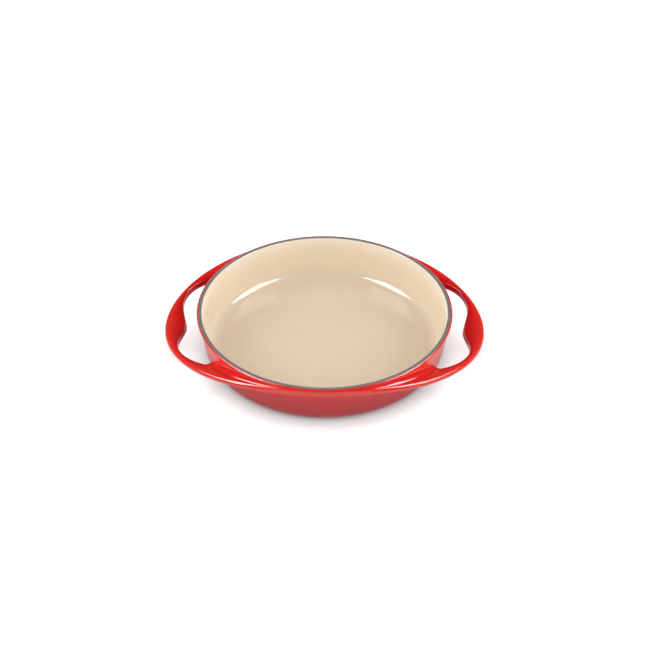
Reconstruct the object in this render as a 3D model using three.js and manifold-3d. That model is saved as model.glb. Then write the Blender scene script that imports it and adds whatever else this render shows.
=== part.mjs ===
// A round enamelled cast-iron baking dish with a loop handle on each side.
// Millimetres, +Z up. The origin is the middle of the underside, and +X runs out through
// the right handle.

import * as THREE from "three";
import { mergeVertices } from "three/addons/utils/BufferGeometryUtils.js";
import Module from "manifold-3d";

const wasm = await Module();
wasm.setup();

// Pan
const PAN_HEIGHT = 47.6; // underside to the top of the rim
const RIM_INNER_RADIUS = 125; // inside of the bare iron at the rim
const RIM_WALL = 3.7; // width of the bare iron at the rim
const LIP_OVERHANG = 1.4; // how far the rim flares out beyond the line of the wall
const LIP_HEIGHT = 5; // height of that flare
const BASE_INSET = 19.9; // how far the flat base stays inside the rim
const BASE_CORNER = 14.5; // outside radius between base and wall
const FLOOR_THICKNESS = 4.2; // iron under the cooking floor
const FLOOR_INSET = 2.5; // how far the flat floor stays inside the flat base
const FLOOR_CORNER = 12; // inside radius between floor and wall

// Coats and fits
const ENAMEL = 0.5; // thickness of each coloured coat
const COAT_GAP = 0.2; // between the iron and its coats
const JOINT_GAP = 0.3; // between the pan, the two handles and neighbouring coats
const RIM_BAND_HEIGHT = 0.9; // ground coat on top of the wall
const RIM_ROUND = 0.7; // rounding of the rim's two edges

// Handles and the shoulder that joins them round the wall
const HANDLE_PROJECTION = 34.4; // beyond the rim, at the end of a handle
const SHOULDER_PROJECTION = 1.4; // beyond the rim, at the front and back of the dish
const SHOULDER_DROP = 5.3; // middle of the shoulder's edge, below the top of the rim
const HANDLE_DROOP = 18.7; // how far the ends of the handles hang below the shoulder
const INWARD_FALL = 0.36; // fall of the handle's face towards the pan, per millimetre
const HANDLE_THICKNESS = 7.2;
const EDGE_ROUND = 2.7; // rounding of the handle's edges
const GRIP_WIDTH = 21.2; // across the grip at the end of a handle
const NECK_WIDTH = 7.8; // across the loop on both sides of the grip
const ARM_WIDTH = 6.8; // across the loop half-way to its root
const ROOT_WIDTH = 12.4; // across the loop where the finger opening ends
const NECK_ANGLE = 19.5; // places round the oval, in degrees from the end of a handle
const ARM_ANGLE = 29;
const ROOT_ANGLE = 37.8;
const WALL_ANGLE = 39.8; // where the end of the opening has run into the wall
const ROOT_BURIAL = 8; // how far the handles run into the rim's radius before they are cut

// Facets
const ROUND_STEPS = 64;
const CORNER_STEPS = 5;
const EDGE_STEPS = 2;
const LOOP_STEPS = 40;
const SHOULDER_STEPS = 10;
const RIM_STEPS = 2;
const WELD = 1e-4;

// Sizes that follow from these
const rimOuterRadius = RIM_INNER_RADIUS + RIM_WALL;
const coatDepth = ENAMEL + COAT_GAP;
const wallTop = PAN_HEIGHT - RIM_BAND_HEIGHT - COAT_GAP; // of the iron and both coats
const lipFoot = PAN_HEIGHT - LIP_HEIGHT;
const handleReach = rimOuterRadius + HANDLE_PROJECTION;
const shoulderReach = rimOuterRadius + SHOULDER_PROJECTION;
const shoulderHeight = PAN_HEIGHT - SHOULDER_DROP;
const buriedRadius = rimOuterRadius - ROOT_BURIAL;

// The face of the dish outside, and the face of its lining inside
const outside = {
  floor: 0,
  flatRadius: rimOuterRadius - BASE_INSET,
  corner: BASE_CORNER,
  rimRadius: rimOuterRadius + coatDepth,
  lip: LIP_OVERHANG,
};
const inside = {
  floor: FLOOR_THICKNESS + 2 * coatDepth,
  flatRadius: outside.flatRadius - FLOOR_INSET,
  corner: FLOOR_CORNER,
  rimRadius: RIM_INNER_RADIUS - coatDepth,
  lip: 0,
};

// Profile of a bowl from its middle to a level: a flat, a round corner, a leaning wall and
// the flare of its lip. Growth moves the whole profile outwards, square to itself.
function bowlProfile(bowl, growth, level) {
  const centre = new THREE.Vector2(bowl.flatRadius, bowl.floor + bowl.corner);
  const toRim = new THREE.Vector2(bowl.rimRadius - bowl.lip, PAN_HEIGHT).sub(centre);
  const lean = Math.atan2(toRim.x, toRim.y) - Math.asin(bowl.corner / toRim.length());
  const radius = bowl.corner + growth;
  const points = [new THREE.Vector2(0, bowl.floor - growth)];
  for (let step = 0; step <= CORNER_STEPS; step += 1) {
    const turn = (step / CORNER_STEPS) * (Math.PI / 2 - lean);
    const reach = new THREE.Vector2(Math.sin(turn), -Math.cos(turn)).multiplyScalar(radius);
    points.push(reach.add(centre));
  }
  const wallFoot = points.at(-1);
  const wallRadius = (height) => wallFoot.x + (height - wallFoot.y) * Math.tan(lean);
  const flare = bowl.lip * ((level - lipFoot) / LIP_HEIGHT);
  points.push(new THREE.Vector2(wallRadius(lipFoot), lipFoot));
  points.push(new THREE.Vector2(wallRadius(level) + flare, level));
  return points;
}

// A turned body, whose profile runs up its outer side and back down its inner side.
function turned(profile) {
  return new THREE.LatheGeometry(profile, ROUND_STEPS).rotateX(Math.PI / 2);
}

function filledBowl(bowl, growth, level) {
  return turned([...bowlProfile(bowl, growth, level), new THREE.Vector2(0, level)]);
}

function bowlShell(outer, inner) {
  return turned([...outer, ...inner.reverse()]);
}

// A closed geometry as a solid that can be joined and cut, and back again.
function solidOf(geometry) {
  const bare = geometry.index ? geometry.toNonIndexed() : geometry.clone();
  bare.deleteAttribute("normal");
  bare.deleteAttribute("uv");
  const welded = mergeVertices(bare, WELD);
  const mesh = new wasm.Mesh({
    numProp: 3,
    vertProperties: welded.attributes.position.array,
    triVerts: new Uint32Array(welded.index.array),
  });
  return new wasm.Manifold(mesh);
}

function geometryOf(solid) {
  const mesh = solid.getMesh();
  const geometry = new THREE.BufferGeometry();
  geometry.setAttribute("position", new THREE.BufferAttribute(mesh.vertProperties, mesh.numProp));
  geometry.setIndex(new THREE.BufferAttribute(mesh.triVerts, 1));
  geometry.computeVertexNormals();
  return geometry;
}

// A block that holds everything from one corner to the other.
function block(low, high) {
  const size = new THREE.Vector3().subVectors(high, low);
  const middle = new THREE.Vector3().addVectors(low, high).multiplyScalar(0.5);
  return new THREE.BoxGeometry(size.x, size.y, size.z).translate(middle.x, middle.y, middle.z);
}

// The oval edge of the handles in plan, and the way square out of it.
function ovalEdge(degrees) {
  const angle = THREE.MathUtils.degToRad(degrees);
  const edge = new THREE.Vector2(handleReach * Math.cos(angle), shoulderReach * Math.sin(angle));
  const outwards = new THREE.Vector2(edge.x / handleReach ** 2, edge.y / shoulderReach ** 2);
  return { edge, outwards: outwards.normalize() };
}

// Width from the oval edge to a circle buried in the pan's wall.
function buriedWidth(degrees) {
  const { edge, outwards } = ovalEdge(degrees);
  const along = edge.dot(outwards);
  return along - Math.sqrt(along ** 2 - edge.lengthSq() + buriedRadius ** 2);
}

// Stations round the oval, each with the width of the handle there: across one finger
// opening from root to root, and then along the shoulder to the next opening.
function halfTurn() {
  const grip = [
    new THREE.Vector2(NECK_ANGLE, NECK_WIDTH),
    new THREE.Vector2(ARM_ANGLE, ARM_WIDTH),
    new THREE.Vector2(ROOT_ANGLE, ROOT_WIDTH),
    new THREE.Vector2(WALL_ANGLE, buriedWidth(WALL_ANGLE)),
  ];
  const loop = new THREE.SplineCurve([
    ...grip.map((p) => new THREE.Vector2(-p.x, p.y)).reverse(),
    new THREE.Vector2(0, GRIP_WIDTH),
    ...grip,
  ]);
  const stations = loop.getPoints(LOOP_STEPS).map((p) => ({ degrees: p.x, width: p.y }));
  for (let step = 1; step < SHOULDER_STEPS; step += 1) {
    const degrees = WALL_ANGLE + (step / SHOULDER_STEPS) * (180 - 2 * WALL_ANGLE);
    stations.push({ degrees, width: buriedWidth(degrees) });
  }
  return stations;
}

// Height of the middle of the handles' plate over a place on the plan. The plate hangs
// towards the ends of the handles and falls from its edge towards the pan.
function plateHeight(x, y) {
  const share = Math.hypot(x / handleReach, y / shoulderReach);
  const droop = HANDLE_DROOP * (x / handleReach) ** 2;
  return shoulderHeight - droop - INWARD_FALL * handleReach * (1 - share);
}

// Section of the plate at one station, smaller all round by an inset: a rectangle with
// rounded corners, taken from the lower outer corner upwards and round.
function plateSection({ degrees, width }, inset) {
  const { edge, outwards } = ovalEdge(degrees);
  const round = Math.min(EDGE_ROUND, width / 2, HANDLE_THICKNESS / 2);
  const high = HANDLE_THICKNESS / 2 - round;
  const corners = [
    { across: -round, up: -high, start: -Math.PI / 2 },
    { across: -round, up: high, start: 0 },
    { across: round - width, up: high, start: Math.PI / 2 },
    { across: round - width, up: -high, start: Math.PI },
  ];
  return corners.flatMap(({ across, up, start }) => {
    const points = [];
    for (let step = 0; step <= EDGE_STEPS; step += 1) {
      const turn = start + (step / EDGE_STEPS) * (Math.PI / 2);
      const place = edge.clone();
      place.addScaledVector(outwards, across + (round - inset) * Math.cos(turn));
      const height = plateHeight(place.x, place.y) + up + (round - inset) * Math.sin(turn);
      points.push(new THREE.Vector3(place.x, place.y, height));
    }
    return points;
  });
}

// A closed ring through sections that all have the same count of points.
function ringThrough(sections) {
  const count = sections[0].length;
  const corner = (station, point) => (station % sections.length) * count + (point % count);
  const faces = [];
  for (let station = 0; station < sections.length; station += 1) {
    for (let point = 0; point < count; point += 1) {
      const near = corner(station, point);
      const far = corner(station + 1, point + 1);
      faces.push(near, corner(station + 1, point), far);
      faces.push(near, far, corner(station, point + 1));
    }
  }
  return new THREE.BufferGeometry().setFromPoints(sections.flat()).setIndex(faces);
}

// Both handles and the shoulder as one ring with rounded edges, smaller all round by an inset.
function handlePlate(inset) {
  const right = halfTurn();
  const left = right.map(({ degrees, width }) => ({ degrees: degrees + 180, width }));
  return solidOf(ringThrough([...right, ...left].map((station) => plateSection(station, inset))));
}

// Iron

function panCasting() {
  const outer = bowlProfile(outside, -coatDepth, wallTop);
  const inner = bowlProfile(inside, coatDepth, wallTop);
  return bowlShell(outer, inner);
}

function handleCasting(side) {
  const pan = solidOf(filledBowl(outside, JOINT_GAP - coatDepth, PAN_HEIGHT));
  const farX = -side * 2 * handleReach;
  const nearX = (side * JOINT_GAP) / 2;
  const otherHalf = block(
    new THREE.Vector3(Math.min(farX, nearX), -2 * shoulderReach, -PAN_HEIGHT),
    new THREE.Vector3(Math.max(farX, nearX), 2 * shoulderReach, 2 * PAN_HEIGHT),
  );
  return geometryOf(handlePlate(coatDepth).subtract(pan).subtract(solidOf(otherHalf)));
}

// Coats

function outerEnamel() {
  const skin = solidOf(filledBowl(outside, 0, wallTop)).add(handlePlate(0));
  const core = solidOf(filledBowl(outside, -ENAMEL, PAN_HEIGHT)).add(handlePlate(ENAMEL));
  const baseRadius = outside.flatRadius + JOINT_GAP;
  const base = new THREE.CylinderGeometry(baseRadius, baseRadius, 2 * ENAMEL, ROUND_STEPS);
  base.rotateX(Math.PI / 2);
  return geometryOf(skin.subtract(core).subtract(solidOf(base)));
}

function baseEnamel() {
  const radius = outside.flatRadius;
  const disc = new THREE.CylinderGeometry(radius, radius, ENAMEL, ROUND_STEPS);
  return disc.rotateX(Math.PI / 2).translate(0, 0, ENAMEL / 2);
}

function liningEnamel() {
  const outer = bowlProfile(inside, ENAMEL, wallTop);
  const inner = bowlProfile(inside, 0, wallTop);
  return bowlShell(outer, inner);
}

function rimBand() {
  const foot = PAN_HEIGHT - RIM_BAND_HEIGHT;
  const shoulder = PAN_HEIGHT - RIM_ROUND;
  const section = new THREE.Path();
  section.moveTo(RIM_INNER_RADIUS, foot);
  section.lineTo(rimOuterRadius, foot);
  section.lineTo(rimOuterRadius, shoulder);
  section.absarc(rimOuterRadius - RIM_ROUND, shoulder, RIM_ROUND, 0, Math.PI / 2);
  section.absarc(RIM_INNER_RADIUS + RIM_ROUND, shoulder, RIM_ROUND, Math.PI / 2, Math.PI);
  section.lineTo(RIM_INNER_RADIUS, foot);
  return turned(section.getPoints(RIM_STEPS));
}

// Finishes

const iron = { color: 0x3d3e40, roughness: 0.8, metalness: 0.6 };
const red = { color: 0xd4161c, roughness: 0.15, metalness: 0 };
const sand = { color: 0xe8d2b2, roughness: 0.2, metalness: 0 };
const groundCoat = { color: 0x77787a, roughness: 0.7, metalness: 0.2 };

const dish = new THREE.Group();

function add(name, geometry, finish) {
  const mesh = new THREE.Mesh(geometry, new THREE.MeshStandardMaterial(finish));
  mesh.name = name;
  dish.add(mesh);
}

add("pan_casting", panCasting(), iron);
add("left_handle_casting", handleCasting(-1), iron);
add("right_handle_casting", handleCasting(1), iron);
add("outer_enamel", outerEnamel(), red);
add("base_enamel", baseEnamel(), red);
add("lining_enamel", liningEnamel(), sand);
add("rim_band", rimBand(), groundCoat);

export default dish;
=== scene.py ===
"""Looks of a round enamelled baking dish with two loop handles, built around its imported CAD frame."""

import math

import bmesh
import bpy
from bpy.props import FloatProperty, FloatVectorProperty, IntProperty, PointerProperty
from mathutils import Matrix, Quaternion, Vector


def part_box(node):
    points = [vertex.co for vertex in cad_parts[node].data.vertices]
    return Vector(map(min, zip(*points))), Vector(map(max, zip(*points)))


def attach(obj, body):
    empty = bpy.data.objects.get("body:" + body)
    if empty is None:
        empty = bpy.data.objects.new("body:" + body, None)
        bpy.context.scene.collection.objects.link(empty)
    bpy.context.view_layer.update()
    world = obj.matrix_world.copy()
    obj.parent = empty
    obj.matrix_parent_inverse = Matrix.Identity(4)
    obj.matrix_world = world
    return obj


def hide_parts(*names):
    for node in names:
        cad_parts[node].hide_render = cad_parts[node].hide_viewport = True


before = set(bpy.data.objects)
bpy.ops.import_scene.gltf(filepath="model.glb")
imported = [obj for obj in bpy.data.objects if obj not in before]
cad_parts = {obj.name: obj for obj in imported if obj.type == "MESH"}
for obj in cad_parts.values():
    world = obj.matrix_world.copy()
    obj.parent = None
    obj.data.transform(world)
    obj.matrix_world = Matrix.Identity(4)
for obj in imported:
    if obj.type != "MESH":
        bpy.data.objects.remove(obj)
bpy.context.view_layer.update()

bl_info = {
    "name": "Enamelled Baking Dish",
    "version": (1, 0, 0),
    "blender": (4, 5, 0),
    "location": "View3D > Sidebar > Dish",
    "description": "Models the castings and coats of a baking dish",
    "category": "Object",
}

MM = 0.001

# Sizes that the frame gives
PAN_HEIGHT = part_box("rim_band")[1].z
RIM_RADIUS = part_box("rim_band")[1].x
BASE_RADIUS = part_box("base_enamel")[1].x
BASE_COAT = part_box("base_enamel")[1].z
LINING_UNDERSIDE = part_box("lining_enamel")[0].z
HANDLE_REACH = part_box("outer_enamel")[1].x
SHOULDER_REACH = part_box("outer_enamel")[1].y


def length(name, description, default):
    """A size in metres that a user may change."""
    return FloatProperty(
        name=name, description=description, default=default, min=0, precision=5,
        subtype="DISTANCE", unit="LENGTH",
    )


def angle(name, description, degrees):
    return FloatProperty(
        name=name, description=description, default=math.radians(degrees),
        subtype="ANGLE", unit="ROTATION",
    )


def colour(name, description, default):
    return FloatVectorProperty(
        name=name, description=description, default=default, size=3, min=0, max=1,
        subtype="COLOR",
    )


class DishSizes(bpy.types.PropertyGroup):
    """Sizes of the pan, its coats and its handles"""

    pan_height: length("Height", "Underside to the top of the rim", PAN_HEIGHT)
    coat: length("Coat", "Thickness of the coloured coats", 0.5 * MM)
    iron_depth: length("Iron Depth", "Surface of the coats to the iron under them", 0.9 * MM)
    base_radius: length("Base Radius", "Flat part of the underside", BASE_RADIUS)
    base_corner: length("Base Corner", "Outside radius between base and wall", 14.5 * MM)
    rim_inner: length("Rim Inner Radius", "Inside of the bare rim", RIM_RADIUS - 3.7 * MM)
    rim_outer: length("Rim Outer Radius", "Outside of the bare rim", RIM_RADIUS - 0.5 * MM)
    rim_depth: length("Rim Depth", "Depth of the rim's ground coat", 1.1 * MM)
    lip_radius: length("Lip Radius", "Outside of the red lip at the rim", RIM_RADIUS + 1.1 * MM)
    lip_overhang: length("Lip Overhang", "Flare of the lip beyond the line of the wall", 1.6 * MM)
    lip_height: length("Lip Height", "Height of the lip's flare", 5 * MM)
    lip_edge: length("Lip Edge", "Depth of the lip's rounded upper edge", 2.1 * MM)
    floor_level: length("Floor Level", "Underside to the cooking floor", LINING_UNDERSIDE + 0.5 * MM)
    floor_radius: length("Floor Radius", "Flat part of the cooking floor", BASE_RADIUS - 2.5 * MM)
    floor_corner: length("Floor Corner", "Inside radius between floor and wall", 12 * MM)
    lining_edge: length("Lining Edge", "Radius of the lining's rounded upper edge", 0.7 * MM)
    # Depth of the paler band under the rim, partly painted light
    pale_and_lit_depth: length("Pale Depth", "Rim to where the lining has its full colour", 14 * MM)
    handle_reach: length("Handle Reach", "Middle of the pan to a handle's end", HANDLE_REACH)
    shoulder_reach: length("Shoulder Reach", "Middle of the pan to its front edge", SHOULDER_REACH)
    shoulder_drop: length("Shoulder Drop", "Rim to the middle of the shoulder's edge", 5.3 * MM)
    droop: length("Droop", "Fall of a handle's end below the shoulder", 18.7 * MM)
    inward_fall: FloatProperty(
        name="Inward Fall", description="Fall of a handle's face towards the pan", default=0.36
    )
    thickness: length("Thickness", "Thickness of the handles", 7.2 * MM)
    edge_round: length("Edge Round", "Where the handles' faces start to round off", 2.6 * MM)
    grip_width: length("Grip Width", "Across the grip at a handle's end", 21.6 * MM)
    neck_width: length("Neck Width", "Across the loop beside the grip", 7.8 * MM)
    arm_width: length("Arm Width", "Across the loop half-way to its root", 6.6 * MM)
    root_width: length("Root Width", "Across the loop where its opening ends", 12.4 * MM)
    under_cut: length("Under Cut", "Lower inner edge of a loop beyond the upper one", 2.0 * MM)
    root_growth: length("Root Growth", "Growth of the handles' faces where they meet the wall", 1 * MM)
    hollow_rise: length("Hollow Rise", "Height of the hollow between a handle and the wall", 3 * MM)
    hollow_width: length("Hollow Width", "Width of that hollow on the handle's face", 4.2 * MM)
    neck_turn: angle("Neck Turn", "Place of the neck round the oval", 19.5)
    arm_turn: angle("Arm Turn", "Place of the narrow arm round the oval", 29)
    root_turn: angle("Root Turn", "Place of the root round the oval", 37.8)
    opening_turn: angle("Opening Turn", "End of the finger opening round the oval", 39.7)
    opening_columns: IntProperty(
        name="Opening Columns", description="Columns along half an opening", default=12
    )
    shoulder_columns: IntProperty(
        name="Shoulder Columns", description="Columns along half the shoulder", default=12
    )
    turned_steps: IntProperty(
        name="Turned Steps", description="Steps round the turned pieces", default=160
    )


class DishFinishes(bpy.types.PropertyGroup):
    """Colours of the coats, the bare rim and the iron"""

    red: colour("Red Enamel", "Coat on the outside", (0.77, 0.009, 0.011))
    # Oranger red on the plate's edges, the upper wall and the lip: partly a thin coat, partly painted
    # light
    orange: colour("Thin Enamel and Painted Light", "Coat where it runs thin on edges", (0.95, 0.075, 0.045))
    # Darker red towards the foot, partly the coat and partly painted shade, and painted shade inside the
    # loops; under the base only a mottle
    deep_shade_and_mottle_red: colour("Deep Enamel and Painted Shade", "Coat where it lies thick at the foot", (0.5, 0.006, 0.01))
    sand: colour("Sand Enamel", "Coat on the inside", (0.855, 0.705, 0.53))
    dark_sand: colour("Dark Sand", "Mottle in the coat on the inside", (0.835, 0.685, 0.51))
    # Paler sand towards the rim: partly the coat, partly painted light on the upper wall
    pale_and_lit_sand: colour("Pale Sand", "Coat on the inside towards the rim", (0.92, 0.81, 0.66))
    grey: colour("Ground Coat", "Bare rim", (0.12, 0.118, 0.115))
    pale_grey: colour("Worn Ground Coat", "Grains in the bare rim", (0.19, 0.185, 0.175))
    iron: colour("Cast Iron", "Castings under the coats", (0.045, 0.045, 0.05))
    pale_iron: colour("Iron Grain", "Grains in the iron", (0.09, 0.09, 0.095))


# Finishes


def texture_group(name, dimple_size, mottle_size):
    """Node group of two values that vary over a surface: fine dimples and a broad mottle."""
    group = bpy.data.node_groups.get(name)
    if group:
        return group
    group = bpy.data.node_groups.new(name, "ShaderNodeTree")
    places = group.nodes.new("ShaderNodeTexCoord")
    ends = group.nodes.new("NodeGroupOutput")
    for value, size, detail in (("Dimples", dimple_size, 2), ("Mottle", mottle_size, 5)):
        group.interface.new_socket(value, in_out="OUTPUT", socket_type="NodeSocketFloat")
        noise = group.nodes.new("ShaderNodeTexNoise")
        noise.inputs["Scale"].default_value = 1 / size
        noise.inputs["Detail"].default_value = detail
        spread = group.nodes.new("ShaderNodeMapRange")
        spread.inputs["From Min"].default_value = 0.3
        spread.inputs["From Max"].default_value = 0.7
        group.links.new(places.outputs["Object"], noise.inputs["Vector"])
        group.links.new(noise.outputs["Fac"], spread.inputs["Value"])
        group.links.new(spread.outputs["Result"], ends.inputs[value])
    return group


def finish(name, texture, base, tints, gloss, relief, refraction=1.5):
    """Material whose colour, gloss and relief follow a texture group.

    Each tint lies over the base where its mask attribute of the mesh is high, or else the mottle.
    The gloss is the least and the most roughness, and the relief is its strength and its height.
    """
    material = bpy.data.materials.new(name)
    material.use_nodes = True
    nodes, links = material.node_tree.nodes, material.node_tree.links
    shader = nodes["Principled BSDF"]
    shader.inputs["IOR"].default_value = refraction
    surface = nodes.new("ShaderNodeGroup")
    surface.node_tree = texture
    under = None
    for mask, tint in tints:
        blend = nodes.new("ShaderNodeMix")
        blend.data_type = "RGBA"
        blend.inputs["A"].default_value = (*base, 1)
        blend.inputs["B"].default_value = (*tint, 1)
        if under:
            links.new(under, blend.inputs["A"])
        if mask:
            painted = nodes.new("ShaderNodeAttribute")
            painted.attribute_name = mask
            links.new(painted.outputs["Fac"], blend.inputs["Factor"])
        else:
            links.new(surface.outputs["Mottle"], blend.inputs["Factor"])
        under = blend.outputs["Result"]
    rough = nodes.new("ShaderNodeMapRange")
    rough.inputs["To Min"].default_value, rough.inputs["To Max"].default_value = gloss
    bump = nodes.new("ShaderNodeBump")
    bump.inputs["Strength"].default_value = relief[0]
    bump.inputs["Distance"].default_value = relief[1]
    links.new(under, shader.inputs["Base Color"])
    links.new(surface.outputs["Mottle"], rough.inputs["Value"])
    links.new(rough.outputs["Result"], shader.inputs["Roughness"])
    links.new(surface.outputs["Dimples"], bump.inputs["Height"])
    links.new(bump.outputs["Normal"], shader.inputs["Normal"])
    return material


def calculate(tree, operation, *values):
    """Result of a new Math node, whose values are other nodes' results or numbers."""
    node = tree.nodes.new("ShaderNodeMath")
    node.operation = operation
    for value, socket in zip(values, node.inputs):
        if isinstance(value, bpy.types.NodeSocket):
            tree.links.new(value, socket)
        else:
            socket.default_value = value
    return node.outputs["Value"]


def glaze_texture():
    return texture_group("glaze_surface", 3.5 * MM, 30 * MM)


def grain_texture():
    return texture_group("grainy_surface", 0.7 * MM, 2.5 * MM)


# Shared steps of modelling


def deselect_all():
    """Clears the selection, because an operator acts on all that is selected."""
    if bpy.context.mode != "OBJECT":
        bpy.ops.object.mode_set(mode="OBJECT")
    bpy.ops.object.select_all(action="DESELECT")


def name_piece(name):
    """Names the object that was just added, and its mesh."""
    piece = bpy.context.object
    piece.name = name
    piece.data.name = name
    return piece


def apply_modifier(piece, name, kind, **settings):
    """Adds a modifier to the active piece and applies it at once."""
    modifier = piece.modifiers.new(name, kind)
    for key, value in settings.items():
        setattr(modifier, key, value)
    bpy.ops.object.modifier_apply(modifier=modifier.name)


def close_and_face_out():
    """Merges the seams of the active piece and turns every face outwards."""
    bpy.ops.object.mode_set(mode="EDIT")
    bpy.ops.mesh.select_all(action="SELECT")
    bpy.ops.mesh.remove_doubles(threshold=0.01 * MM)
    bpy.ops.mesh.normals_make_consistent(inside=False)
    bpy.ops.object.mode_set(mode="OBJECT")


def settle(piece, node, material):
    """Gives a finished piece its material and its place in the frame."""
    piece.data.materials.clear()
    piece.data.materials.append(material)
    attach(piece, "root")
    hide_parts(node)


def turned_piece(name, section, steps):
    """Spins a section, given as radius and height, that is closed or ends on the dish's axis."""
    deselect_all()
    bpy.ops.mesh.primitive_plane_add(size=MM, location=(0, 0, 0))
    piece = name_piece(name)
    bpy.ops.object.mode_set(mode="EDIT")
    bpy.ops.mesh.select_mode(type="VERT")
    bpy.ops.mesh.select_all(action="SELECT")
    bpy.ops.mesh.merge(type="CENTER")
    bpy.ops.transform.translate(value=(section[0][0], 0, section[0][1]))
    for (radius, level), (last_radius, last_level) in zip(section[1:], section):
        step = (radius - last_radius, 0, level - last_level)
        bpy.ops.mesh.extrude_region_move(TRANSFORM_OT_translate={"value": step})
    bpy.ops.mesh.select_all(action="SELECT")
    bpy.ops.mesh.remove_doubles(threshold=0.001 * MM)
    bpy.ops.mesh.spin(steps=steps, angle=2 * math.pi, center=(0, 0, 0), axis=(0, 0, 1))
    bpy.ops.object.mode_set(mode="OBJECT")
    close_and_face_out()
    bpy.ops.object.shade_smooth_by_angle(angle=math.radians(50))
    return piece


def arc(centre, radius, start, end, steps):
    """Points of an arc in a section, with angles from straight down, turning outwards."""
    points = []
    for step in range(steps + 1):
        turn = start + (end - start) * step / steps
        points.append((centre[0] + radius * math.sin(turn), centre[1] - radius * math.cos(turn)))
    return points


def wall_lean(flat_radius, floor, corner, rim_radius, rim_level):
    """Lean of a wall that leaves a round corner and ends at the rim."""
    across = rim_radius - flat_radius
    up = rim_level - floor - corner
    return math.atan2(across, up) - math.asin(corner / math.hypot(across, up))


def smooth(share):
    """Eases a share from 0 to 1 at both of its ends."""
    return share * share * (3 - 2 * share)


def curve_through(stations, at):
    """Smooth curve through stations, whose slope at each is that between its neighbours."""
    for before, start, end, after in zip(stations, stations[1:], stations[2:], stations[3:]):
        if at <= end[0]:
            break
    span = end[0] - start[0]
    share = (at - start[0]) / span
    slope_in = (end[1] - before[1]) / (end[0] - before[0])
    slope_out = (after[1] - start[1]) / (after[0] - start[0])
    swing_in = slope_in * span * share * (1 - share) ** 2
    swing_out = slope_out * span * share ** 2 * (1 - share)
    return start[1] + (end[1] - start[1]) * smooth(share) + swing_in - swing_out


class TaggedMesh:
    """A mesh in edit mode whose vertices carry numbers, by which they are found and placed."""

    def __init__(self, piece):
        self.piece = piece
        bpy.ops.object.mode_set(mode="EDIT")
        bpy.ops.mesh.select_mode(type="VERT")
        layers = bmesh.from_edit_mesh(piece.data).verts.layers
        for name in ("column", "row", "ring"):
            layers.int.new(name)
        bmesh.update_edit_mesh(piece.data)

    def verts(self):
        """The vertices, each with its column, row and ring."""
        mesh = bmesh.from_edit_mesh(self.piece.data)
        tags = [mesh.verts.layers.int[name] for name in ("column", "row", "ring")]
        return mesh, [(vert, *(vert[tag] for tag in tags)) for vert in mesh.verts]

    def select(self, chosen):
        """Selects the vertices, and the edges and faces between them, that pass a test."""
        bpy.ops.mesh.select_mode(type="VERT")
        bpy.ops.mesh.select_all(action="DESELECT")
        mesh, verts = self.verts()
        for vert, column, row, ring in verts:
            vert.select_set(chosen(column, row, ring))
        mesh.select_flush_mode()
        bmesh.update_edit_mesh(self.piece.data)

    def select_edges(self, chosen):
        """Selects the edges that pass a test on the edge and its ends' columns, rows and rings."""
        self.select_by(chosen, "EDGE", lambda mesh: mesh.edges)

    def select_faces(self, chosen):
        """Selects the faces that pass a test on the face and its corners' columns, rows and rings."""
        self.select_by(chosen, "FACE", lambda mesh: mesh.faces)

    def select_by(self, chosen, mode, elements):
        bpy.ops.mesh.select_mode(type=mode)
        bpy.ops.mesh.select_all(action="DESELECT")
        mesh, verts = self.verts()
        tags = {vert: tuple(numbers) for vert, *numbers in verts}
        for element in elements(mesh):
            element.select_set(chosen(element, [tags[vert] for vert in element.verts]))
        bmesh.update_edit_mesh(self.piece.data)

    def tag(self, name, number):
        """Gives the selected vertices a number."""
        mesh = bmesh.from_edit_mesh(self.piece.data)
        for vert in mesh.verts:
            if vert.select:
                vert[mesh.verts.layers.int[name]] = number
        bmesh.update_edit_mesh(self.piece.data)

    def place(self, target):
        """Moves each selected vertex to the place that its column and row have."""
        mesh, verts = self.verts()
        moving = [entry for entry in verts if entry[0].select]
        for vert, column, row, _ in moving:
            bpy.ops.mesh.select_all(action="DESELECT")
            vert.select_set(True)
            bpy.ops.transform.translate(value=target(column, row) - vert.co)
        for vert, *_ in moving:
            vert.select_set(True)
        mesh.select_flush_mode()
        bmesh.update_edit_mesh(self.piece.data)


# Shape of the outside

# Rings of the handles' plate from the wall out to its edge, and its rows on the wall
INNER, FACE_IN, FACE_OUT, EDGE = range(1, 5)
LOWER_ROW, UPPER_ROW = 7, 10

# Edge of the plate: heights as shares of half the thickness, and widths as shares of the rounding
EDGE_SECTION = {
    UPPER_ROW: (0.38, 0.25),
    UPPER_ROW - 1: (0, 0),
    LOWER_ROW + 1: (-0.35, 0),
    LOWER_ROW: (-0.75, 0.2),
}

# Rounding of the loops' inner edges, and the height of their inner sides as a share
LOOP_ROUND = 0.9 * MM
LOOP_INNER_HEIGHT = 0.95

# Share of the handles' reach from which their faces fall fully towards the pan
FALL_REACH = 0.7

# Room that the handles' root keeps on the wall, and the flare under it
ROOT_OVER_FOOT = 5 * MM
ROOT_UNDER_LIP = 0.8 * MM
LEAST_ROOT = 4 * MM
ROOT_FLARE = 4 * MM

# Growth of the wall between the shoulder and the lip, and the room below which it starts
LIP_FILL = 1 * MM
LIP_FILL_ROOM = 6 * MM

# Share of the hollow that each column past an opening adds, and the width in which it meets the face
HOLLOW_PER_COLUMN = 0.65
HOLLOW_BLEND = 1.8 * MM

# Growth of the base's corner that makes up for the smoothing
CORNER_SWELL = 1.02


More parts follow.
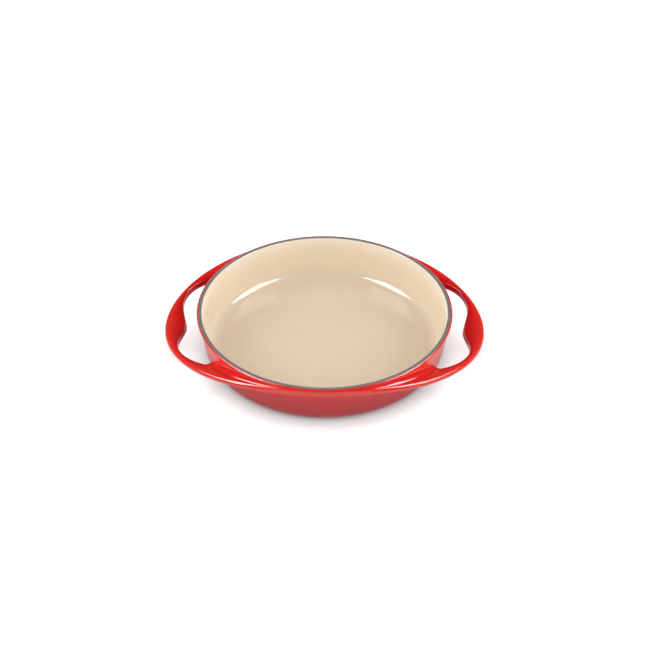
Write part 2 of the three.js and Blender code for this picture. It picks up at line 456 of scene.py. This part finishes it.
class Outside:
    """Places on the outer face of the dish, worked out from its sizes."""

    def __init__(self, sizes):
        self.sizes = sizes
        self.straight_rim = sizes.lip_radius - sizes.lip_overhang
        self.lean = wall_lean(
            sizes.base_radius, 0, sizes.base_corner, self.straight_rim, sizes.pan_height
        )
        self.foot_radius = sizes.base_radius + sizes.base_corner * math.cos(self.lean)
        self.foot_level = sizes.base_corner * (1 - math.sin(self.lean))
        self.lip_foot = sizes.pan_height - sizes.lip_height
        self.lip_level = sizes.pan_height - sizes.lip_edge
        self.half = sizes.thickness / 2
        self.turns = self.column_turns()
        self.last = len(self.turns) - 1
        self.headings = [self.heading(turn) for turn in self.turns]
        self.pulls = self.smoothing_pulls()

    def column_turns(self):
        """Angles of the columns on a quarter of the oval, closest at the opening's end."""
        end = self.sizes.opening_turn
        turns = []
        for step in range(self.sizes.opening_columns):
            share = step / self.sizes.opening_columns
            turns.append(end * (1.25 * share - 0.25 * share ** 3))
        for step in range(self.sizes.shoulder_columns + 1):
            share = step / self.sizes.shoulder_columns
            rest = 0.4 * share + 0.9 * share ** 2 - 0.3 * share ** 3
            turns.append(end + (math.pi / 2 - end) * rest)
        return turns

    def oval(self, turn):
        """A place on the oval edge in plan, and the way square out of it."""
        reach, shoulder = self.sizes.handle_reach, self.sizes.shoulder_reach
        edge = Vector((reach * math.cos(turn), shoulder * math.sin(turn)))
        outward = Vector((edge.x / reach ** 2, edge.y / shoulder ** 2)).normalized()
        return edge, outward

    def width_to(self, radius, turn):
        """Width from the oval edge inwards to a circle round the pan."""
        edge, outward = self.oval(turn)
        along = edge.dot(outward)
        return along - math.sqrt(along ** 2 - edge.length_squared + radius ** 2)

    def heading(self, turn):
        """Polar angle at which a column meets the wall."""
        edge, outward = self.oval(turn)
        meets = edge - outward * self.width_to(self.straight_rim, turn)
        return math.atan2(meets.y, meets.x)

    def smoothing_pulls(self):
        """Growth of each column that makes up for the smoothing, which pulls rings inwards."""
        mirrored = [-self.headings[1], *self.headings, math.pi - self.headings[-2]]
        pulls = []
        for before, here, after in zip(mirrored, mirrored[1:], mirrored[2:]):
            pulls.append(1 + ((here - before) ** 2 + (after - here) ** 2) / 12)
        return pulls

    def keep_on_planes(self, place, column):
        """Keeps the first and the last column on the planes that mirror the quarter."""
        if column == 0:
            place.y = 0
        if column == self.last:
            place.x = 0
        return place

    def wall_radius(self, level):
        """Outside radius of the wall at a height, with the flare of the lip."""
        flare = max(0.0, level - self.lip_foot) / self.sizes.lip_height
        straight = self.foot_radius + (level - self.foot_level) * math.tan(self.lean)
        return straight + self.sizes.lip_overhang * flare

    def plate_level(self, place):
        """Height of the middle of the handles' plate over a place in plan."""
        sizes = self.sizes
        share = math.hypot(place.x / sizes.handle_reach, place.y / sizes.shoulder_reach)
        reach = abs(place.x) / sizes.handle_reach
        steepness = sizes.inward_fall * smooth(min(1.0, reach / FALL_REACH))
        fall = steepness * sizes.handle_reach * (1 - share)
        return sizes.pan_height - sizes.shoulder_drop - sizes.droop * reach ** 2 - fall

    def root_levels(self, column):
        """Heights at which the plate's lower and upper faces leave the wall."""
        edge, outward = self.oval(self.turns[column])
        width = self.width_to(self.straight_rim, self.turns[column])
        middle = self.plate_level(edge - outward * width)
        growth = self.sizes.root_growth
        lower = max(middle - self.half - growth, self.foot_level + ROOT_OVER_FOOT)
        upper = max(middle + self.half + 2 * growth, lower + LEAST_ROOT)
        return lower, min(upper, self.lip_level - ROOT_UNDER_LIP)

    def lip_room(self, column):
        """Height of the wall between the plate's upper face and the lip."""
        return self.lip_level - self.root_levels(column)[1]

    def lip_fill(self, column):
        """Growth of the wall where the shoulder comes so close to the lip that they join."""
        return LIP_FILL * smooth(max(0.0, 1 - self.lip_room(column) / LIP_FILL_ROOM))

    def hollow(self, column):
        """Rise of the corner between the plate and the wall, which grows from the opening's end."""
        share = HOLLOW_PER_COLUMN * (column - self.sizes.opening_columns)
        return min(1.0, max(0.0, share)) * min(self.sizes.hollow_rise, self.lip_room(column) / 2)

    def wall_section(self, column):
        """Radius and height of each row of a column, from the base up to the rim."""
        lower, upper = self.root_levels(column)
        fill, hollow = self.lip_fill(column), self.hollow(column)
        corner = upper + hollow
        room = self.lip_level - corner
        below = lower - ROOT_FLARE
        rise = (upper - lower) / 3
        levels = [
            (self.foot_level, 0),
            ((self.foot_level + below) / 2, 0),
            (below, 0),
            (lower, 0),
            (lower + rise, fill / 3),
            (upper - rise, fill * 2 / 3),
            (corner, fill + hollow / 2),
            (corner + 0.45 * room, fill),
            (max(self.lip_foot, corner + 0.7 * room), 0.6 * fill),
        ]
        wall = [(self.wall_radius(level) + growth, level) for level, growth in levels]
        return self.base_section() + wall + self.lip_section()

    def base_section(self):
        """The round corner between the flat base and the wall, short of the row at the wall's foot."""
        centre = (self.sizes.base_radius, self.sizes.base_corner)
        start, end = 0.02, 0.75 * (math.pi / 2 - self.lean)
        section = arc(centre, CORNER_SWELL * self.sizes.base_corner, start, end, 3)
        section[0] = (section[0][0], 0)
        return section

    def lip_section(self):
        """The rounded edge of the lip, which ends just outside the bare rim."""
        lip, top, edge = self.sizes.lip_radius, self.sizes.pan_height, self.sizes.lip_edge
        bevel = lip - self.sizes.rim_outer
        return [
            (lip - 0.1 * MM, self.lip_level),
            (lip, top - 0.643 * edge),
            (lip - 0.344 * bevel, top - 0.357 * edge),
            (lip - 0.688 * bevel, top - 0.167 * edge),
            (self.sizes.rim_outer + 0.05 * MM, top - 0.19 * edge),
        ]

    def on_wall(self, column, row):
        """Place of one vertex of the wall."""
        radius, level = self.wall_section(column)[row]
        radius *= self.pulls[column]
        heading = self.headings[column]
        place = Vector((radius * math.cos(heading), radius * math.sin(heading), level))
        return self.keep_on_planes(place, column)

    def loop_width(self, turn):
        """Width of the loop beside the finger opening: broad grip, slim arm, broad root."""
        sizes = self.sizes
        stations = [
            (-sizes.neck_turn, sizes.neck_width),
            (0, sizes.grip_width),
            (sizes.neck_turn, sizes.neck_width),
            (sizes.arm_turn, sizes.arm_width),
            (sizes.root_turn, sizes.root_width),
            (1.25 * sizes.root_turn, 2 * sizes.root_width),
            (1.5 * sizes.root_turn, 3 * sizes.root_width),
        ]
        return curve_through(stations, turn)

    def root_width(self, column, row):
        """Width from the oval edge to the wall at one row of the plate's root."""
        radius = self.wall_section(column)[row][0]
        return self.width_to(radius, self.turns[column])

    def on_plate(self, column, row, ring):
        """Place of one corner of the plate's section."""
        sizes, turn = self.sizes, self.turns[column]
        root = self.root_width(column, row)
        rounding = min(sizes.edge_round, 0.3 * root)
        share = (row - LOWER_ROW) / (UPPER_ROW - LOWER_ROW)
        height = 2 * share - 1
        if ring == EDGE:
            height, width = EDGE_SECTION[row]
            width *= rounding
        elif ring == FACE_OUT:
            width = rounding
        elif column > sizes.opening_columns:
            width = root - min(sizes.hollow_width, 0.34 * root)
            if ring == FACE_IN:
                width -= min(HOLLOW_BLEND, 0.14 * root)
        elif ring == FACE_IN:
            width = self.loop_width(turn) - LOOP_ROUND
        else:
            height *= LOOP_INNER_HEIGHT
            fade = max(0.0, 1 - turn / sizes.arm_turn)
            width = self.loop_width(turn) + sizes.under_cut * fade * (0.5 - share)
        return self.keep_on_planes(self.over_plate(turn, width, height * self.half), column)

    def over_plate(self, turn, width, height):
        """A place at a width from the oval edge and a height from the plate's middle."""
        edge, outward = self.oval(turn)
        place = edge - outward * width
        return Vector((place.x, place.y, self.plate_level(place) + height))


# Pieces


class DISH_OT_outer_enamel(bpy.types.Operator):
    """Model the red coat over the wall and both handles as a quarter, mirror and thicken it"""

    bl_idname = "dish.outer_enamel"
    bl_label = "Outer Enamel"

    def execute(self, context):
        sizes, finishes = context.scene.dish_sizes, context.scene.dish_finishes
        outside = Outside(sizes)
        skin = self.quarter_ring(outside)
        self.raise_wall(skin, outside)
        self.draw_out_plate(skin, outside)
        self.open_loop(skin, sizes.opening_columns)
        self.paint_masks(skin, outside)
        self.complete(skin.piece, sizes)
        # The red's first tint is oranger, partly painted light, and its second darker, partly painted
        # shade
        material = finish(
            "red_enamel", glaze_texture(), finishes.red,
            (("thin_and_lit", finishes.orange), ("deep_and_shade", finishes.deep_shade_and_mottle_red)),
            gloss=(0.03, 0.07), relief=(0.05, 0.1 * MM), refraction=1.6,
        )
        settle(skin.piece, "outer_enamel", material)
        return {"FINISHED"}

    def quarter_ring(self, outside):
        """A quarter of a circle on the base, one vertex to a column."""
        deselect_all()
        bpy.ops.mesh.primitive_circle_add(vertices=4 * outside.last, radius=outside.sizes.base_radius)
        skin = TaggedMesh(name_piece("red_enamel_coat"))
        mesh, verts = skin.verts()
        for vert, *_ in verts:
            vert.select_set(min(vert.co.x, vert.co.y) < -0.1 * MM)
        mesh.select_flush_mode()
        bpy.ops.mesh.delete(type="VERT")
        mesh, _ = skin.verts()
        tag = mesh.verts.layers.int["column"]
        for number, vert in enumerate(sorted(mesh.verts, key=lambda vert: vert.co.y)):
            vert[tag] = number
        bmesh.update_edit_mesh(skin.piece.data)
        return skin

    def raise_wall(self, skin, outside):
        """Extrudes the ring up the corner, the wall and the lip, a row at a time."""
        skin.select(lambda column, row, ring: True)
        skin.place(outside.on_wall)
        for number in range(1, len(outside.wall_section(0))):
            skin.select(lambda column, row, ring: row == number - 1)
            bpy.ops.mesh.extrude_region_move(TRANSFORM_OT_translate={"value": (0, 0, MM)})
            skin.tag("row", number)
            skin.place(outside.on_wall)

    def draw_out_plate(self, skin, outside):
        """Extrudes a band of the wall out to the oval edge, in steps that shape the plate."""
        skin.select(lambda column, row, ring: LOWER_ROW <= row <= UPPER_ROW)
        for number in (INNER, FACE_IN, FACE_OUT, EDGE):
            bpy.ops.mesh.extrude_region_move(TRANSFORM_OT_translate={"value": (0, 0, 0)})
            skin.tag("ring", number)
            skin.place(lambda column, row: outside.on_plate(column, row, number))
        skin.select_faces(lambda face, tags: any(
            all(abs(vert.co[axis]) < 0.001 * MM for vert in face.verts) for axis in (0, 1)
        ))
        bpy.ops.mesh.delete(type="FACE")

    def open_loop(self, skin, end):
        """Cuts the finger opening through the plate and closes its sides."""
        skin.select_faces(lambda face, tags: (
            {ring for _, _, ring in tags} == {0, INNER}
            and len({row for _, row, _ in tags}) == 1
            and all(column <= end for column, _, _ in tags)
        ))
        bpy.ops.mesh.delete(type="ONLY_FACE")
        bpy.ops.mesh.select_mode(type="EDGE")
        bpy.ops.mesh.select_all(action="SELECT")
        bpy.ops.mesh.delete_loose(use_verts=True, use_edges=True, use_faces=False)
        skin.select_edges(lambda edge, tags: (
            edge.is_boundary
            and all(row in (LOWER_ROW, UPPER_ROW) and ring in (0, INNER) for _, row, ring in tags)
            and 0 < max(column for column, _, _ in tags) <= end
        ))
        bpy.ops.mesh.bridge_edge_loops(number_cuts=2, interpolation="LINEAR")

    def paint_masks(self, skin, outside):
        """Marks oranger red, partly painted light, on edges and up the wall; and darker red, partly
        painted shade, at the foot and in the loops.
        """
        layers = bmesh.from_edit_mesh(skin.piece.data).verts.layers.float
        for name in ("thin_and_lit", "deep_and_shade"):
            layers.new(name)
        mesh, verts = skin.verts()
        thin_and_lit, deep_and_shade = (mesh.verts.layers.float[name] for name in ("thin_and_lit", "deep_and_shade"))
        for vert, *place in verts:
            vert[thin_and_lit], vert[deep_and_shade] = self.thin_lit_deep_and_shade(outside, *place)
        bmesh.update_edit_mesh(skin.piece.data)
        bpy.ops.object.mode_set(mode="OBJECT")

    def thin_lit_deep_and_shade(self, outside, column, row, ring):
        """How much painted light, as oranger red, and painted shade, as darker red, one vertex gets, from
        0 to 1.
        """
        # Oranger on the plate's outer edge, partly painted light
        if ring == EDGE:
            return 0.5, 0
        # Painted shade on the loops' inner sides, which the pan hides from the side light
        if ring in (INNER, FACE_IN) and column <= outside.sizes.opening_columns:
            return 0, 0.75 if ring == INNER else 0.35
        # A little oranger along the plate's upper face, partly painted light
        if ring:
            return 0.3 if row == UPPER_ROW else 0, 0
        # Oranger up the wall and on the lip where there is room above the shoulder, partly painted light
        if row > UPPER_ROW:
            return min(0.75, 0.15 + outside.lip_room(column) / (10 * MM)), 0
        # Darker towards the foot: partly the coat, partly painted shade where the floor's shadow falls
        return 0, min(1.0, max(0.0, (LOWER_ROW - row) / 3))

    def complete(self, piece, sizes):
        """Mirrors the quarter, smooths it and gives it the coat's thickness."""
        apply_modifier(
            piece, "Other Quarters", "MIRROR", use_axis=(True, True, False),
            merge_threshold=0.01 * MM,
        )
        close_and_face_out()
        apply_modifier(piece, "Smooth", "SUBSURF", levels=2, render_levels=2)
        apply_modifier(piece, "Coat", "SOLIDIFY", thickness=sizes.coat, offset=-1)
        bpy.ops.object.shade_smooth()


class DISH_OT_base_enamel(bpy.types.Operator):
    """Turn the coat under the base"""

    bl_idname = "dish.base_enamel"
    bl_label = "Base Enamel"

    def execute(self, context):
        sizes, finishes = context.scene.dish_sizes, context.scene.dish_finishes
        edge, round_off = sizes.base_radius, 0.2 * MM
        section = [(0, 0), (0.5 * edge, 0)]
        section += arc((edge - round_off, round_off), round_off, 0, math.pi / 2, 4)
        section += [(edge, BASE_COAT), (0, BASE_COAT)]
        piece = turned_piece("base_enamel_coat", section, sizes.turned_steps)
        material = finish(
            "base_enamel", glaze_texture(), finishes.red, ((None, finishes.deep_shade_and_mottle_red),),
            gloss=(0.15, 0.3), relief=(0.1, 0.1 * MM),
        )
        settle(piece, "base_enamel", material)
        return {"FINISHED"}


# Rings on the bowl's wall, between which its paint fades, and the depth of the last one under the rim
LINING_RINGS = (30 * MM, 38 * MM)
LINING_TOP = 1.5 * MM


def lining_section(sizes, depth):
    """Section of the bowl's inner face, or of a face at a depth under it, up to the rim."""
    edge = sizes.rim_inner - sizes.lining_edge
    lean = wall_lean(sizes.floor_radius, sizes.floor_level, sizes.floor_corner, edge, sizes.pan_height)
    centre = (sizes.floor_radius, sizes.floor_level + sizes.floor_corner)
    floor = sizes.floor_level - depth
    section = [(0, floor), (0.5 * sizes.floor_radius, floor)]
    section += arc(centre, sizes.floor_corner + depth, 0, math.pi / 2 - lean, 14)
    foot_radius, foot_level = section[-1]
    for level in (*LINING_RINGS, sizes.pan_height - LINING_TOP):
        section.append((foot_radius + (level - foot_level) * math.tan(lean), level))
    return section


class DISH_OT_lining(bpy.types.Operator):
    """Turn the sand coat inside the pan"""

    bl_idname = "dish.lining"
    bl_label = "Lining Enamel"

    def execute(self, context):
        sizes, finishes = context.scene.dish_sizes, context.scene.dish_finishes
        rim, top, edge = sizes.rim_inner, sizes.pan_height - 0.4 * MM, sizes.lining_edge
        section = lining_section(sizes, 0)
        section += arc((rim, top - edge), edge, 1.55 * math.pi, 1.05 * math.pi, 6)
        section += [(rim - 0.05 * MM, top - 1.1 * MM)]
        section += lining_section(sizes, sizes.coat)[::-1]
        piece = turned_piece("sand_enamel_lining", section, sizes.turned_steps)
        self.paint_towards_rim(piece, sizes)
        # The pale tint is paler sand towards the rim, partly painted light
        material = finish(
            "sand_enamel", glaze_texture(), finishes.sand,
            ((None, finishes.dark_sand), ("pale", finishes.pale_and_lit_sand)),
            gloss=(0.04, 0.08), relief=(0.05, 0.1 * MM), refraction=1.45,
        )
        settle(piece, "lining_enamel", material)
        return {"FINISHED"}

    def paint_towards_rim(self, piece, sizes):
        """Marks the upper wall, which is painted paler towards the rim, partly as painted light."""
        mask = piece.data.attributes.new("pale", "FLOAT", "POINT")
        for vert, mark in zip(piece.data.vertices, mask.data):
            depth = sizes.pan_height - vert.co.z
            mark.value = smooth(max(0.0, 1 - depth / sizes.pale_and_lit_depth))


class DISH_OT_rim_band(bpy.types.Operator):
    """Turn the matt ground coat on the rim"""

    bl_idname = "dish.rim_band"
    bl_label = "Rim Band"

    def execute(self, context):
        sizes, finishes = context.scene.dish_sizes, context.scene.dish_finishes
        outer, inner = sizes.rim_outer, sizes.rim_inner
        top, foot, round_off = sizes.pan_height, sizes.pan_height - sizes.rim_depth, 0.8 * MM
        section = [(inner, foot), (outer, foot)]
        section += arc((outer - round_off, top - round_off), round_off, math.pi / 2, math.pi, 6)
        section += arc((inner + round_off, top - round_off), round_off, math.pi, 1.5 * math.pi, 6)
        section += [(inner, foot)]
        piece = turned_piece("rim_ground_coat", section, sizes.turned_steps)
        material = finish(
            "ground_coat", grain_texture(), finishes.grey, ((None, finishes.pale_grey),),
            gloss=(0.5, 0.75), relief=(0.35, 0.1 * MM),
        )
        settle(piece, "rim_band", material)
        return {"FINISHED"}


# Gap between the pan's iron and the bare rim's coat, and from the middle of the dish to a handle's end
IRON_UNDER_RIM = 0.3 * MM
HANDLE_END = 0.15 * MM


class DISH_OT_castings(bpy.types.Operator):
    """Model the iron pan and the two iron handles under the coats"""

    bl_idname = "dish.castings"
    bl_label = "Iron Castings"

    def execute(self, context):
        sizes, finishes = context.scene.dish_sizes, context.scene.dish_finishes
        material = finish(
            "cast_iron", grain_texture(), finishes.iron, ((None, finishes.pale_iron),),
            gloss=(0.55, 0.8), relief=(0.5, 0.15 * MM),
        )
        outside = Outside(sizes)
        settle(self.turn_pan(sizes, outside), "pan_casting", material)
        settle(self.sweep_handle(outside, 1), "right_handle_casting", material)
        settle(self.sweep_handle(outside, -1), "left_handle_casting", material)
        return {"FINISHED"}

    def turn_pan(self, sizes, outside):
        """Turns the iron between the outer coats and the lining."""
        depth = sizes.iron_depth
        top = sizes.pan_height - sizes.rim_depth - IRON_UNDER_RIM
        corner = (sizes.base_radius, sizes.base_corner)
        section = [(0, depth), (0.5 * sizes.base_radius, depth)]
        section += arc(corner, sizes.base_corner - depth, 0, math.pi / 2 - outside.lean, 10)
        section += [(outside.wall_radius(outside.lip_foot) - depth, outside.lip_foot)]
        section += [(outside.wall_radius(top) - 1.5 * MM, top)]
        section += lining_section(sizes, depth)[::-1]
        return turned_piece("pan_iron", section, sizes.turned_steps)

    def sweep_handle(self, outside, side):
        """Extrudes the handle's section along half the oval, mirrors it and caps its ends."""
        deselect_all()
        bpy.ops.mesh.primitive_circle_add(vertices=8, radius=5 * MM)
        handle = TaggedMesh(name_piece("right_handle_iron" if side > 0 else "left_handle_iron"))
        mesh, _ = handle.verts()
        tag = mesh.verts.layers.int["row"]
        for number, vert in enumerate(mesh.verts):
            vert[tag] = number
        bmesh.update_edit_mesh(handle.piece.data)

        def place(column, row):
            return self.on_section(outside, side, column, row)

        handle.select(lambda column, row, ring: True)
        handle.place(place)
        for number in range(1, outside.last + 1):
            handle.select(lambda column, row, ring: column == number - 1)
            bpy.ops.mesh.extrude_region_move(TRANSFORM_OT_translate={"value": (0, 0, 0)})
            handle.tag("column", number)
            handle.place(place)
        bpy.ops.mesh.edge_face_add()
        bpy.ops.object.mode_set(mode="OBJECT")
        apply_modifier(
            handle.piece, "Other Half", "MIRROR", use_axis=(False, True, False),
            merge_threshold=0.01 * MM,
        )
        close_and_face_out()
        bpy.ops.object.shade_smooth_by_angle(angle=math.radians(40))
        return handle.piece

    def on_section(self, outside, side, column, row):
        """Place of one corner of the iron section, an oblong with its corners cut off."""
        sizes = outside.sizes
        turn, depth = outside.turns[column], sizes.iron_depth
        if column <= sizes.opening_columns:
            inner = outside.loop_width(turn) - 1.5 * depth
        else:
            inner = outside.width_to(outside.straight_rim, turn) - 0.2 * MM
        cut = 0.3 * (inner - depth)
        widths = (depth, depth, depth + cut, inner - cut, inner, inner, inner - cut, depth + cut)
        tall = outside.half - depth
        low = 0.4 * tall
        heights = (-low, low, tall, tall, low, -low, -tall, -tall)
        place = outside.over_plate(turn, widths[row], heights[row])
        place.x = side * max(place.x, HANDLE_END)
        if column == 0:
            place.y = 0
        return place


# Softboxes, in metres and watts
SOFTBOX_DISTANCE = 1.4
SOFTBOX_SIZE = (0.92, 0.7)
SOFTBOX_POWER = 27

# Camera that was fitted to the outlines of the rim, the handles and the base
CAMERA_TARGET = Vector((0.47, 0, 26.31)) * MM
CAMERA_AWAY = Vector((29.8, -1423.2, 1101.8)) * MM
CAMERA_LENS = 97.61
CAMERA_ROLL = math.radians(0.27)


class DISH_OT_stage(bpy.types.Operator):
    """Set the pale floor, the soft lights and the camera"""

    bl_idname = "dish.stage"
    bl_label = "Stage"

    def execute(self, context):
        self.lay_floor()
        self.hang_lights(context)
        self.aim_camera(context)
        context.scene.view_settings.view_transform = "Standard"
        return {"FINISHED"}

    def lay_floor(self):
        """Lays the floor a hair below the base, so that the two never lie in one plane."""
        deselect_all()
        bpy.ops.mesh.primitive_plane_add(size=40, location=(0, 0, -0.2 * MM))
        floor = name_piece("floor")
        floor.data.materials.append(self.floor_paint())

    def floor_paint(self):
        """Grey paint that the camera sees as white, apart from the dish's shadow."""
        material = bpy.data.materials.new("white_floor")
        material.use_nodes = True
        tree = material.node_tree
        nodes, links = tree.nodes, tree.links
        shader = nodes["Principled BSDF"]
        shader.inputs["Roughness"].default_value = 0.9
        shader.inputs["Specular IOR Level"].default_value = 0
        shader.inputs["Emission Color"].default_value = (1, 1, 1, 1)
        paths = nodes.new("ShaderNodeLightPath")
        glossy, passed = (paths.outputs[name] for name in ("Is Glossy Ray", "Is Transmission Ray"))
        mirrored = calculate(tree, "MAXIMUM", glossy, passed)
        paint = nodes.new("ShaderNodeMix")
        paint.data_type = "RGBA"
        paint.inputs["A"].default_value = (0.45, 0.45, 0.45, 1)
        paint.inputs["B"].default_value = (0.9, 0.9, 0.9, 1)
        links.new(mirrored, paint.inputs["Factor"])
        links.new(paint.outputs["Result"], shader.inputs["Base Color"])
        # Ambient occlusion dims the floor's glow round the dish: a painted shadow under the lamps' own
        shadow = nodes.new("ShaderNodeAmbientOcclusion")
        shadow.inputs["Distance"].default_value = 25 * MM
        dimmed = calculate(tree, "MULTIPLY", mirrored, 0.2)
        seen = calculate(tree, "MULTIPLY_ADD", paths.outputs["Is Camera Ray"], 0.88, dimmed)
        lift = calculate(tree, "MULTIPLY", seen, shadow.outputs["AO"])
        links.new(lift, shader.inputs["Emission Strength"])
        return material

    def hang_lights(self, context):
        """Soft low light, mostly from the sides, and two softboxes that are seen in the gloss alone."""
        context.scene.world = self.studio_light()
        self.hang_softbox("right_softbox", 94, 49)
        self.hang_softbox("left_softbox", -84, 51)

    def studio_light(self):
        """World that lights the dish softly, hardly shows in its gloss and is white to the camera."""
        world = bpy.data.worlds.new("studio")
        world.use_nodes = True
        tree = world.node_tree
        nodes, links = tree.nodes, tree.links
        paths = nodes.new("ShaderNodeLightPath")
        muted = calculate(tree, "MULTIPLY_ADD", paths.outputs["Is Glossy Ray"], -0.95, 1)
        strength = calculate(tree, "MULTIPLY", self.light_by_direction(tree), muted)
        light, backdrop = nodes["Background"], nodes.new("ShaderNodeBackground")
        for background in (light, backdrop):
            background.inputs["Color"].default_value = (1, 1, 1, 1)
        links.new(strength, light.inputs["Strength"])
        choice = nodes.new("ShaderNodeMixShader")
        links.new(paths.outputs["Is Camera Ray"], choice.inputs["Fac"])
        links.new(light.outputs["Background"], choice.inputs[1])
        links.new(backdrop.outputs["Background"], choice.inputs[2])
        links.new(choice.outputs["Shader"], nodes["World Output"].inputs["Surface"])
        return world

    def light_by_direction(self, tree):
        """Level of light that fades from the sides to the front, the back, the floor and the top."""
        way = tree.nodes.new("ShaderNodeTexCoord")
        parts = tree.nodes.new("ShaderNodeSeparateXYZ")
        tree.links.new(way.outputs["Generated"], parts.inputs["Vector"])
        level = None
        for axis, start, end, near, far in (
            ("Y", -0.9, -0.5, 0.95, 2.5), ("Y", 0, 0.9, 1, 0.45),
            ("Z", 0.15, 0.42, 0.55, 1), ("Z", 0.6, 0.85, 1, 0.1),
        ):
            fade = tree.nodes.new("ShaderNodeMapRange")
            fade.interpolation_type = "SMOOTHSTEP"
            fade.inputs["From Min"].default_value = start
            fade.inputs["From Max"].default_value = end
            fade.inputs["To Min"].default_value = near
            fade.inputs["To Max"].default_value = far
            tree.links.new(parts.outputs[axis], fade.inputs["Value"])
            share = fade.outputs["Result"]
            level = share if level is None else calculate(tree, "MULTIPLY", level, share)
        return level

    def hang_softbox(self, name, heading, height):
        """Hangs a softbox that faces the dish, with degrees to the camera's right and above the floor."""
        heading, height = math.radians(heading), math.radians(height)
        across = math.cos(height)
        away = Vector((math.sin(heading) * across, -math.cos(heading) * across, math.sin(height)))
        bpy.ops.object.light_add(type="AREA", location=SOFTBOX_DISTANCE * away)
        lamp = bpy.context.object
        lamp.name = name
        lamp.data.shape = "RECTANGLE"
        lamp.data.size, lamp.data.size_y = SOFTBOX_SIZE
        lamp.data.energy = SOFTBOX_POWER
        lamp.visible_diffuse = False
        lamp.rotation_mode = "QUATERNION"
        lamp.rotation_quaternion = away.to_track_quat("Z", "Y")

    def aim_camera(self, context):
        """Puts the camera where the photo was taken from."""
        bpy.ops.object.camera_add(location=CAMERA_TARGET + CAMERA_AWAY)
        camera = bpy.context.object
        camera.name = "photo_camera"
        camera.data.sensor_width = 36
        camera.data.lens = CAMERA_LENS
        camera.rotation_mode = "QUATERNION"
        roll = Quaternion((0, 0, 1), CAMERA_ROLL)
        camera.rotation_quaternion = CAMERA_AWAY.to_track_quat("Z", "Y") @ roll
        context.scene.camera = camera


class VIEW3D_PT_dish(bpy.types.Panel):
    """Steps, sizes and colours of the dish"""

    bl_label = "Dish"
    bl_space_type = "VIEW_3D"
    bl_region_type = "UI"
    bl_category = "Dish"

    def draw(self, context):
        for operator in OPERATORS:
            self.layout.operator(operator.bl_idname)
        for group in (context.scene.dish_sizes, context.scene.dish_finishes):
            for name in group.__annotations__:
                self.layout.prop(group, name)


OPERATORS = (
    DISH_OT_outer_enamel,
    DISH_OT_base_enamel,
    DISH_OT_lining,
    DISH_OT_rim_band,
    DISH_OT_castings,
    DISH_OT_stage,
)
CLASSES = (DishSizes, DishFinishes, *OPERATORS, VIEW3D_PT_dish)


def register():
    for cls in CLASSES:
        bpy.utils.register_class(cls)
    bpy.types.Scene.dish_sizes = PointerProperty(type=DishSizes)
    bpy.types.Scene.dish_finishes = PointerProperty(type=DishFinishes)


def unregister():
    del bpy.types.Scene.dish_finishes
    del bpy.types.Scene.dish_sizes
    for cls in reversed(CLASSES):
        bpy.utils.unregister_class(cls)


def main():
    register()
    bpy.ops.dish.outer_enamel()
    bpy.ops.dish.base_enamel()
    bpy.ops.dish.lining()
    bpy.ops.dish.rim_band()
    bpy.ops.dish.castings()
    bpy.ops.dish.stage()


if __name__ == "__main__":
    main()
